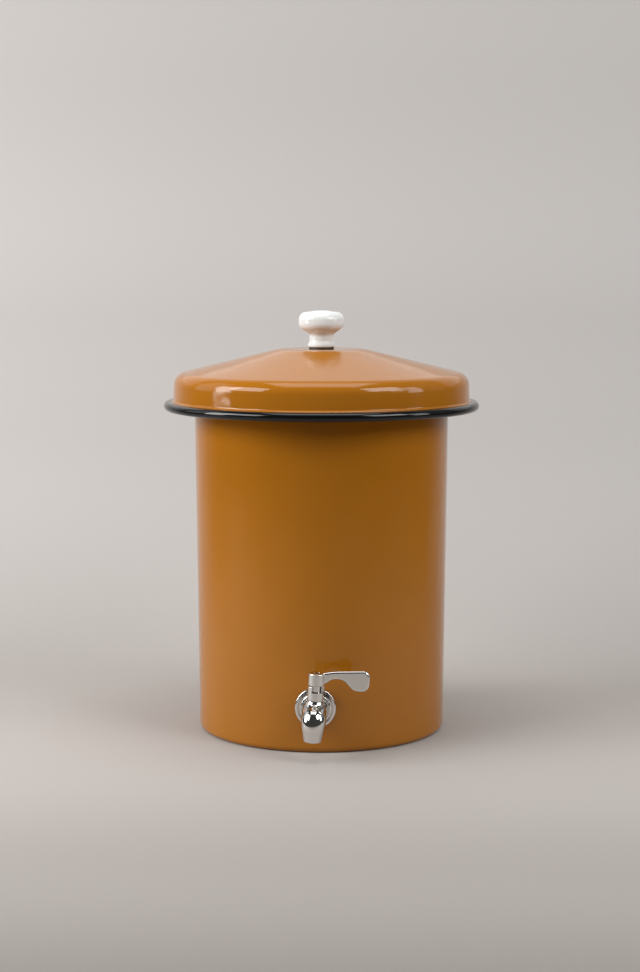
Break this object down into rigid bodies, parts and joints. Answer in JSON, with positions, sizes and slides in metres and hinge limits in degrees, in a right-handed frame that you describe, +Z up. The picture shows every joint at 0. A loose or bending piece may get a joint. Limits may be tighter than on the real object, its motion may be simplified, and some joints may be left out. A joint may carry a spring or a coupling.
{
  "type": "gravity water filter with tap",
  "caption": "Enamelled bucket with a clay filter pot hung in its mouth, an overhanging domed lid with a round knob, and a quarter-turn lever tap near its base.",
  "frame": {"origin": "centre of the bucket's base, on the bucket's axis, on the surface it stands on", "axes": "+Z up along the bucket's axis; the tap faces -Y; the closed lever points to the +X side"},
  "size_m": [0.2806, 0.2911, 0.3741],
  "materials": {
    "enamel": "glossy vitreous enamel, black on the lid's rolled edge",
    "fired_clay": "matte porous fired clay",
    "glaze": "glossy white glaze",
    "brass": "turned",
    "rubber": "matte",
    "silicone": "satin silicone",
    "zinc_steel": "bright zinc plate",
    "brushed_steel": "turned stainless steel",
    "polished_steel": "polished stainless steel",
    "valve_plastic": "satin white"
  },
  "bodies": {
    "bucket": {"bucket_shell": "enamel", "tap_body": "polished_steel", "tap_outer_gasket": "silicone", "tap_inner_gasket": "silicone", "tap_backing_washer": "zinc_steel", "tap_lock_nut": "brushed_steel", "valve_sleeve": "valve_plastic", "tap_bonnet": "polished_steel"},
    "pot": {"filter_pot": "fired_clay"},
    "lid": {"lid_shell": "enamel", "lid_knob": "glaze", "knob_insert": "brass", "knob_gasket": "rubber", "knob_washer": "zinc_steel", "knob_screw": "zinc_steel"},
    "lever": {"tap_lever": "polished_steel", "stop_pin": "brushed_steel", "lever_screw": "brushed_steel", "valve_stem": "brushed_steel", "stem_o_rings": "rubber", "stem_thrust_washer": "valve_plastic"}
  },
  "joints": [
    {"name": "filter_lift", "type": "slide", "parent": "bucket", "child": "pot", "axis": [0, 0, 1], "range_m": [0, 0.19]},
    {"name": "lid_lift", "type": "slide", "parent": "pot", "child": "lid", "axis": [0, 0, 1], "range_m": [0, 0.12]},
    {"name": "lever_turn", "type": "hinge", "parent": "bucket", "child": "lever", "pos_m": [0.00147, -0.13104, 0.06426], "axis": [-0.061, 0, -0.9981], "range_deg": [0, 90]}
  ]
}
